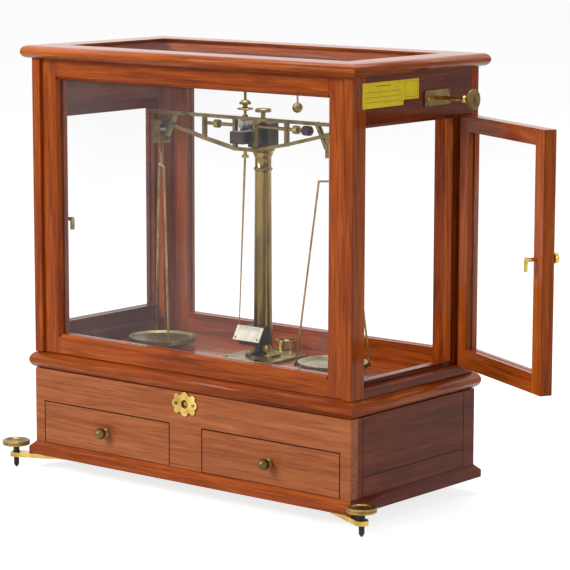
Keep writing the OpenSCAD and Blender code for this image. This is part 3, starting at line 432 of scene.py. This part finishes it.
def sash_pick(node, stile_width):
    low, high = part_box(node)

    def pick(centre, normal):
        if centre.x < low.x + stile_width or centre.x > high.x - stile_width:
            return 0 if centre.x < 0 else 1
        return 2
    return pick


def sash_cuts(node, stile_width):
    low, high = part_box(node)
    return [(Vector((low.x + stile_width, 0, 0)), Vector((1, 0, 0))),
            (Vector((high.x - stile_width, 0, 0)), Vector((1, 0, 0)))]


STILE = 23.5 * MM
PLINTH_SIDE_X = 200 * MM  # beyond it a plinth wall is a side
FRONT_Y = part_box("plinth_front")[0].y
DRAWER_FRONT_T = 12 * MM
OPENING_OUT = 219 * MM
OPENING_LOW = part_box("left_drawer")[0].z - 1 * MM
OPENING_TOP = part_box("left_drawer")[1].z + 2 * MM


def drawer_pick(centre, normal):
    """The front's face is polished, its edges take painted shade from the gap around the drawer, and the box
    behind it is plain.
    """
    if centre.y > FRONT_Y + DRAWER_FRONT_T:
        return 2
    return 0 if normal.y < -0.5 else 1


def in_opening(p):
    """True for a point on the plinth's face at the rim of a drawer opening."""
    return p.y < FRONT_Y + MM and abs(p.x) < OPENING_OUT and OPENING_LOW < p.z < OPENING_TOP


def opening_pick(centre, normal):
    """The walls of the drawer openings are material 1, painted very dark as the shade inside the openings."""
    inner = abs(normal.y) < 0.5 and abs(centre.x) < OPENING_OUT and centre.z < OPENING_TOP
    return 1 if inner else 0


# Side members take the dark tone, the same mahogany with painted shade.
dress("base_board", [wood("x", "case", 4), wood("y", "dark", 5)], 0.8,
      mitre_pick("base_board"), mitre_cuts("base_board"))
dress("deck_board", [wood("x", "case", 6), wood("y", "case", 7)], 0,
      mitre_pick("deck_board"), mitre_cuts("deck_board"), angle=60)
dress("top_frame", [wood("x", "case", 8), wood("y", "case", 9)], 0,
      mitre_pick("top_frame"), mitre_cuts("top_frame"), angle=60)
# Very dark mahogany: painted shade in the gaps around the drawers, on the opening walls and the chamfered drawer
# edges.
grime = wood("x", "grime", 29)
dress("plinth_front", [wood("x", "drawer", 10), grime], 0.15, opening_pick, rim=(in_opening, 0.3))
dress("plinth_walls", [wood("y", "dark", 11), wood("x", "dark", 12)], 0.3,
      lambda c, n: 0 if abs(c.x) > PLINTH_SIDE_X else 1)
dress("corner_posts", [wood("z", "case", 13), wood("z", "case", 14)], 0.6,
      lambda c, n: 0 if c.x < 0 else 1)
dress("side_rails", [wood("y", "dark", 15)], 0.4)
dress("front_frame", [wood("z", "case", 16), wood("z", "case", 17), wood("x", "case", 18)], 0.4,
      sash_pick("front_frame", STILE), sash_cuts("front_frame", STILE))
dress("back_frame", [wood("z", "case", 19), wood("z", "case", 20), wood("x", "case", 21)], 0.4,
      sash_pick("back_frame", STILE), sash_cuts("back_frame", STILE))
dress("fixed_panes", [glass], 0)
for node_name, seed in (("left_drawer", 22), ("right_drawer", 23)):
    dress(node_name, [wood("x", "drawer", seed), grime, wood("x", "raw", seed)], 0.15, drawer_pick,
          rim=(lambda p: p.y < FRONT_Y + MM, 0.35))
dress("drawer_guides", [wood("y", "raw", 24)], 0.3)
dress("dust_board", [wood("x", "raw", 25)], 0.3)
dress("arrest_bearing", [wood("z", "raw", 26)], 0.3)
dress("rear_foot", [wood("z", "dark", 27)], 0.4)

# Doors

DOOR_STILE = 18 * MM
DOOR_EDGE = -1.0 * MM  # the hinge stile's edge, from the pivot
DOOR_WIDTH = 178.5 * MM
door_joint = joints["right_door_hinge"]
door_pivot = Vector(door_joint["pos_m"])
door_turn = -door_joint["range_deg"][0]


def door_pick(turn, pivot):
    """Stiles are materials 0 and 1, rails material 2, judged in the closed door's own frame."""
    back = Matrix.Rotation(-math.radians(turn), 4, "Z")

    def pick(centre, normal):
        y = (back @ (Vector(centre) - pivot)).y
        if y > DOOR_EDGE - DOOR_STILE:
            return 0
        return 1 if y < DOOR_EDGE - DOOR_WIDTH + DOOR_STILE else 2
    return pick


def door_cuts(turn, pivot):
    ahead = Matrix.Rotation(math.radians(turn), 4, "Z")
    along = ahead @ Vector((0, 1, 0))
    return [(pivot + along * (DOOR_EDGE - DOOR_STILE), along),
            (pivot + along * (DOOR_EDGE - DOOR_WIDTH + DOOR_STILE), along)]


left_pivot = Vector(joints["left_door_hinge"]["pos_m"])
right_rail = wood("y", "case", 32, door_turn, tuple(door_pivot))
dress("right_door_frame", [wood("z", "case", 30), wood("z", "case", 31), right_rail], 0.4,
      door_pick(door_turn, door_pivot), door_cuts(door_turn, door_pivot))
dress("left_door_frame", [wood("z", "dark", 33), wood("z", "dark", 34), wood("y", "dark", 35)], 0.4,
      door_pick(0, left_pivot), door_cuts(0, left_pivot))
dress("right_door_glass", [glass], 0)
dress("left_door_glass", [glass], 0)

# Brass and steel works

LOOKS = {
    "case_hinge_leaves": brass, "left_door_leaves": brass, "right_door_leaves": brass,
    "hinge_pins": steel, "left_catch": brass, "right_catch": brass_bright,
    "left_drawer_knob": brass_dark, "right_drawer_knob": brass_dark,
    "escutcheon_plate": brass_bright, "screws": brass, "arrest_spindle": brass, "lift_rod": steel,
    "levelling_arms": brass_bright, "column_base_plate": brass, "column": brass_streak_sheen,
    "bearing_head": bronze, "agate_plane": agate, "thumb_knob": brass,
    "beam": brass_dark, "beam_knives": steel, "balance_nut_left": brass, "balance_nut_right": brass,
    "pointer": brass, "scale_plate": ivory, "scale_bracket": iron_blue,
    "left_pan_bow": brass, "right_pan_bow": brass, "left_pan": brass_pan, "right_pan": brass_pan,
    "rider_plate": brass_dark, "rider_arm": brass, "level_cup": brass_bright, "level_glass": glass,
}
NO_BEVEL = {"level_glass", "hinge_pins", "lift_rod", "left_pan_bow", "right_pan_bow", "column",
            "pointer"}
METAL_BEVEL = 0.25
COLUMN_ANGLE = 22
for node_name, look in LOOKS.items():
    dress(node_name, [look], 0 if node_name in NO_BEVEL else METAL_BEVEL,
          angle=COLUMN_ANGLE if node_name == "column" else SMOOTH_ANGLE)

ROD_KNURL_X = 79.5 * MM
RIDER_KNOB_X = 261 * MM
STIRRUP_TOP_Z = 380.5 * MM
WHEEL_LOW_Z = 24.8 * MM
dress("adjusting_rod", [brass_dark, bronze], METAL_BEVEL, lambda c, n: int(c.x > ROD_KNURL_X))
dress("rider_rod", [brass_bright, brass_dark], METAL_BEVEL, lambda c, n: int(c.x > RIDER_KNOB_X))
for node_name in ("levelling_screw_left", "levelling_screw_right"):
    dress(node_name, [bronze, brass], METAL_BEVEL, lambda c, n: int(c.z > WHEEL_LOW_Z))
for node_name in ("left_stirrup", "right_stirrup"):
    dress(node_name, [brass_dark, bronze], METAL_BEVEL, lambda c, n: int(c.z > STIRRUP_TOP_Z))


# Small pieces that the solids leave out

def piece_from(name, bm, body, materials, angle=SMOOTH_ANGLE):
    mesh = bpy.data.meshes.new(name)
    bmesh.ops.recalc_face_normals(bm, faces=bm.faces)
    bm.to_mesh(mesh)
    bm.free()
    smooth(mesh, angle)
    piece = add_object(name, mesh, body, materials)
    return piece


def add_block(bm, low, high, place=None):
    """A block from corner to corner, moved by a matrix."""
    for vert in bmesh.ops.create_cube(bm, size=1)["verts"]:
        vert.co = Vector([low[k] + (vert.co[k] + 0.5) * (high[k] - low[k]) for k in range(3)])
        if place:
            vert.co = place @ vert.co


BAND_WALL = 0.6
BAND_CHAMFER = 0.2


def knurled_band(name, body, material, centre, axis, radius, width, teeth, depth=0.35):
    """A closed ring with fine ridges round its rim, centred on a point, in millimetres."""
    turn = Vector((0, 0, 1)).rotation_difference(Vector(axis)).to_matrix().to_4x4()
    place = Matrix.Translation(centre) @ turn
    inner, outer, half = radius - BAND_WALL, radius + depth, width / 2
    profile = [(inner, -half), (radius, -half), (outer, -half + BAND_CHAMFER),
               (outer, half - BAND_CHAMFER), (radius, half), (inner, half)]
    steps = 2 * teeth
    bm = bmesh.new()
    rings = []
    for r, z in profile:
        ring = []
        for i in range(steps):
            angle = 2 * math.pi * i / steps
            reach = (radius if r > radius and i % 2 else r) * MM
            point = Vector((reach * math.cos(angle), reach * math.sin(angle), z * MM))
            ring.append(bm.verts.new(place @ point))
        rings.append(ring)
    for low, high in zip(rings, rings[1:] + rings[:1]):
        for i in range(steps):
            j = (i + 1) % steps
            bm.faces.new((low[i], low[j], high[j], high[i]))
    return piece_from(name, bm, body, [material], 20)


ROW_BACK = 80  # millimetres from the case frame to the row
ROW_UP = 17


def in_row(x, y, z):
    """A point of the source's case frame, in millimetres, as a point of the row in metres."""
    return Vector((x, y - ROW_BACK, z + ROW_UP)) * MM


WHEEL_AT = (242.0, -117.05)
WHEEL_BANDS = (9.4, 12.2)
BEAM_Y = -9  # the plane of the beam, the pointer and the column
for side, sign in (("left", -1), ("right", 1)):
    for number, height in enumerate(WHEEL_BANDS):
        knurled_band(f"levelling_knurl_{side}_{number}", f"levelling_screw_{side}", brass,
                     in_row(sign * WHEEL_AT[0], WHEEL_AT[1], height), (0, 0, 1), 14.95, 1.9, 64)

knurled_band("rod_knurl", body_of_node["adjusting_rod"], bronze, in_row(84.5, BEAM_Y, 370.4),
             (1, 0, 0), 4.95, 7.2, 26, 0.3)
knurled_band("thumb_knurl", body_of_node["thumb_knob"], brass, in_row(0, 21, 384.5),
             (0, 0, 1), 8.45, 2.4, 44, 0.25)

# The gravity bob: a thin disc below and a domed one above, on the threaded post
BOB_PROFILE = [
    (1.6, 21.5), (3.2, 21.6), (3.4, 22.6), (8.2, 22.9), (8.75, 23.4), (8.75, 24.0), (8.2, 24.5),
    (3.4, 24.9), (2.6, 25.8), (2.6, 27.4), (3.2, 28.2), (5.9, 28.4), (6.5, 29.0), (6.4, 29.9),
    (5.6, 31.2), (4.2, 32.4), (2.6, 33.2), (1.6, 33.5), (1.6, 21.5),
]
bob = lathe("bob_turned", BOB_PROFILE, body_of_node["gravity_bob"], brass,
            in_row(0, BEAM_Y, 365), "z", 72, 40)
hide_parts("gravity_bob")

SIDE_X = 220.0 * MM


LABEL_OUTLINE = [(-171.8, 423.0), (-104.2, 423.2), (-104.2, 428.4), (-78.4, 428.4),
                 (-78.4, 448.6), (-171.8, 448.4)]
RULE_W = 0.35
FRAME_RULE_W = 0.3
FRAME_Y = (-101.5, -81.2)


def label():
    """The bare paper label on the right top rail: a tall sheet and a shorter one beside it."""
    bm = bmesh.new()
    low = [bm.verts.new((SIDE_X + 0.02 * MM, y * MM, z * MM)) for y, z in LABEL_OUTLINE]
    high = [bm.verts.new((SIDE_X + 0.22 * MM, y * MM, z * MM)) for y, z in LABEL_OUTLINE]
    bm.faces.new(low)
    bm.faces.new(high)
    for i in range(len(low)):
        j = (i + 1) % len(low)
        bm.faces.new((low[i], low[j], high[j], high[i]))
    piece_from("paper_label", bm, "case", [paper])
    bm = bmesh.new()
    rules = [(-168, -108, z, z + RULE_W) for z in (428.5, 433.5, 438.5)]
    rules += [(-150, -126, 444.2, 444.9)]
    rules += [(*FRAME_Y, z, z + FRAME_RULE_W) for z in (430.6, 446.4)]
    rules += [(y, y + FRAME_RULE_W, 430.6, 446.7) for y in FRAME_Y]
    for y0, y1, z0, z1 in rules:
        add_block(bm, (SIDE_X + 0.2 * MM, y0 * MM, z0 * MM),
                  (SIDE_X + 0.26 * MM, y1 * MM, z1 * MM))
    piece_from("label_rules", bm, "case", [ink])


label()


PLATE_LEAN = 59
TICK_PITCH = 1.15
TICK_HALF_W = 0.12
TICK_TOP = 15.6
TICK_LOW_Z = -0.05 * MM
TICK_HIGH_Z = 0.06 * MM


def scale_ticks():
    """Ruled marks on the leaning ivory plate that the pointer swings over."""
    lean = Matrix.Rotation(math.radians(PLATE_LEAN), 4, "X")
    place = Matrix.Translation(in_row(0, BEAM_Y, 138)) @ lean
    bm = bmesh.new()
    for k in range(-12, 13):
        length = 4.6 if k % 4 == 0 else 3.0
        x = k * TICK_PITCH
        add_block(bm, ((x - TICK_HALF_W) * MM, (TICK_TOP - length) * MM, TICK_LOW_Z),
                  ((x + TICK_HALF_W) * MM, TICK_TOP * MM, TICK_HIGH_Z), place)
    add_block(bm, (-14.2 * MM, 15.5 * MM, TICK_LOW_Z), (14.2 * MM, 15.8 * MM, TICK_HIGH_Z), place)
    piece_from("scale_ticks", bm, "case", [ink_and_recess_shade])


scale_ticks()


SLOT_REACH = 0.92  # of the head's radius
SLOT_HALF_W = 0.22 * MM
SLOT_SPIN = 0.9  # radians from one screw's slot to the next one's


def screw_slots():
    """A thin dark slab across each small screw's head, on the side that the head faces: painted shade inside its
    slot.
    """
    body = body_of_node["screws"]
    bm = bmesh.new()
    bm.from_mesh(nodes["screws"].data)
    bmesh.ops.remove_doubles(bm, verts=bm.verts, dist=WELD)
    slots = bmesh.new()
    seen = set()
    count = 0
    for start in bm.verts:
        if start.index in seen:
            continue
        island, todo = [], [start]
        seen.add(start.index)
        while todo:
            vert = todo.pop()
            island.append(vert)
            for edge in vert.link_edges:
                other = edge.other_vert(vert)
                if other.index not in seen:
                    seen.add(other.index)
                    todo.append(other)
        faces = dict.fromkeys(face for vert in island for face in vert.link_faces)
        # Faces that look one way; the largest group is taken as the head's
        by_way = {}
        for face in faces:
            key = tuple(round(c, 2) for c in face.normal)
            by_way.setdefault(key, []).append(face)
        head = max(by_way.values(), key=lambda group: sum(face.calc_area() for face in group))
        normal = head[0].normal.copy()
        points = [v.co for f in head for v in f.verts]
        centre = sum(points, Vector()) / len(points)
        radius = max((point - centre).length for point in points)
        turn = Vector((0, 0, 1)).rotation_difference(normal).to_matrix().to_4x4()
        spin = Matrix.Rotation(count * SLOT_SPIN, 4, "Z")
        reach = radius * SLOT_REACH
        add_block(slots, (-reach, -SLOT_HALF_W, -0.1 * MM), (reach, SLOT_HALF_W, 0.05 * MM),
                  Matrix.Translation(centre) @ turn @ spin)
        count += 1
    bm.free()
    piece_from("screw_slots", slots, body, [ink_and_recess_shade])


screw_slots()

# The old screw hole in the right front post, a dark disc painted as the shade inside it, and the level's bubble,
# turned in millimetres
HOLE_PROFILE = [(0, 0.02), (1.3, 0.06), (1.9, 0.16), (2.1, 0.04), (2.1, 0)]
BUBBLE_PROFILE = [(0, -1.2), (1.6, -1.0), (2.7, -0.4), (3.0, 0), (0, 0)]
hole = lathe("post_hole", HOLE_PROFILE, "case", ink_and_recess_shade,
             Vector((SIDE_X, -179.5 * MM, 440.1 * MM)), "x", 32)
bubble = lathe("level_bubble", BUBBLE_PROFILE, "case", ivory, in_row(-6, 69, 127.3), "z", 40)


# Floor, light and background

FLOOR_TONE = (0.5, 0.5, 0.5)
FLOOR_GLOW = 0.79
FLOOR_REACH = 12.0
WORLD_STRENGTH = 0.44  # over the background node's own pale grey
PAGE_STRENGTH = 1.0


def shadow_floor():
    """A pale floor that shows white to the camera, mirrors and glass, and keeps the shadow."""
    ways = ((-1, -1), (1, -1), (1, 1), (-1, 1))
    corners = [(x * FLOOR_REACH, y * FLOOR_REACH, 0) for x, y in ways]
    mesh = bpy.data.meshes.new("floor")
    mesh.from_pydata(corners, [], [(0, 1, 2, 3)])
    floor = bpy.data.objects.new("floor", mesh)
    bpy.context.scene.collection.objects.link(floor)
    s = Shader("floor_paper")
    grain = s.noise(s.coords(), 300, 2)
    s.set(Base_Color=s.ramp(grain, (0.3, FLOOR_TONE), (0.7, FLOOR_TONE)), Roughness=0.9,
          Specular_IOR_Level=0.0)
    path = s.node("ShaderNodeLightPath")
    seen = s.math("MAXIMUM", path.outputs["Is Camera Ray"], path.outputs["Is Transmission Ray"])
    seen = s.math("MAXIMUM", seen, path.outputs["Is Glossy Ray"])
    s.set(Emission_Color=(1, 1, 1, 1), Emission_Strength=s.math("MULTIPLY", seen, FLOOR_GLOW))
    mesh.materials.append(s.mat)


def area_light(name, at, aim, size, watts):
    data = bpy.data.lights.new(name, "AREA")
    data.shape = "RECTANGLE"
    data.size, data.size_y = size
    data.energy = watts
    lamp = bpy.data.objects.new(name, data)
    bpy.context.scene.collection.objects.link(lamp)
    lamp.location = at
    lamp.rotation_euler = (Vector(aim) - Vector(at)).to_track_quat("-Z", "Y").to_euler()


def world_light():
    """An even light on the object, and white where the camera, mirrors and glass see past it."""
    world = bpy.data.worlds.new("studio")
    bpy.context.scene.world = world
    world.use_nodes = True
    tree = world.node_tree
    tree.nodes.clear()
    out = tree.nodes.new("ShaderNodeOutputWorld")
    light = tree.nodes.new("ShaderNodeBackground")
    light.inputs["Strength"].default_value = WORLD_STRENGTH
    page = tree.nodes.new("ShaderNodeBackground")
    page.inputs["Color"].default_value = (1, 1, 1, 1)
    page.inputs["Strength"].default_value = PAGE_STRENGTH
    path = tree.nodes.new("ShaderNodeLightPath")
    mix = tree.nodes.new("ShaderNodeMixShader")
    seen_by = path.outputs["Is Camera Ray"]
    for ray in ("Is Transmission Ray", "Is Glossy Ray"):
        either = tree.nodes.new("ShaderNodeMath")
        either.operation = "MAXIMUM"
        tree.links.new(seen_by, either.inputs[0])
        tree.links.new(path.outputs[ray], either.inputs[1])
        seen_by = either.outputs["Value"]
    tree.links.new(seen_by, mix.inputs["Fac"])
    tree.links.new(light.outputs["Background"], mix.inputs[1])
    tree.links.new(page.outputs["Background"], mix.inputs[2])
    tree.links.new(mix.outputs["Shader"], out.inputs["Surface"])


shadow_floor()
world_light()
area_light("key", (-1.3, -2.4, 1.7), (0, -0.1, 0.2), (1.2, 1.0), 58)
area_light("top", (-0.2, 0.1, 2.3), (0, 0, 0.3), (1.4, 0.9), 28)
area_light("side", (2.4, -0.5, 1.0), (0.2, -0.1, 0.25), (0.9, 0.9), 7)

bpy.context.scene.view_settings.view_transform = "Standard"
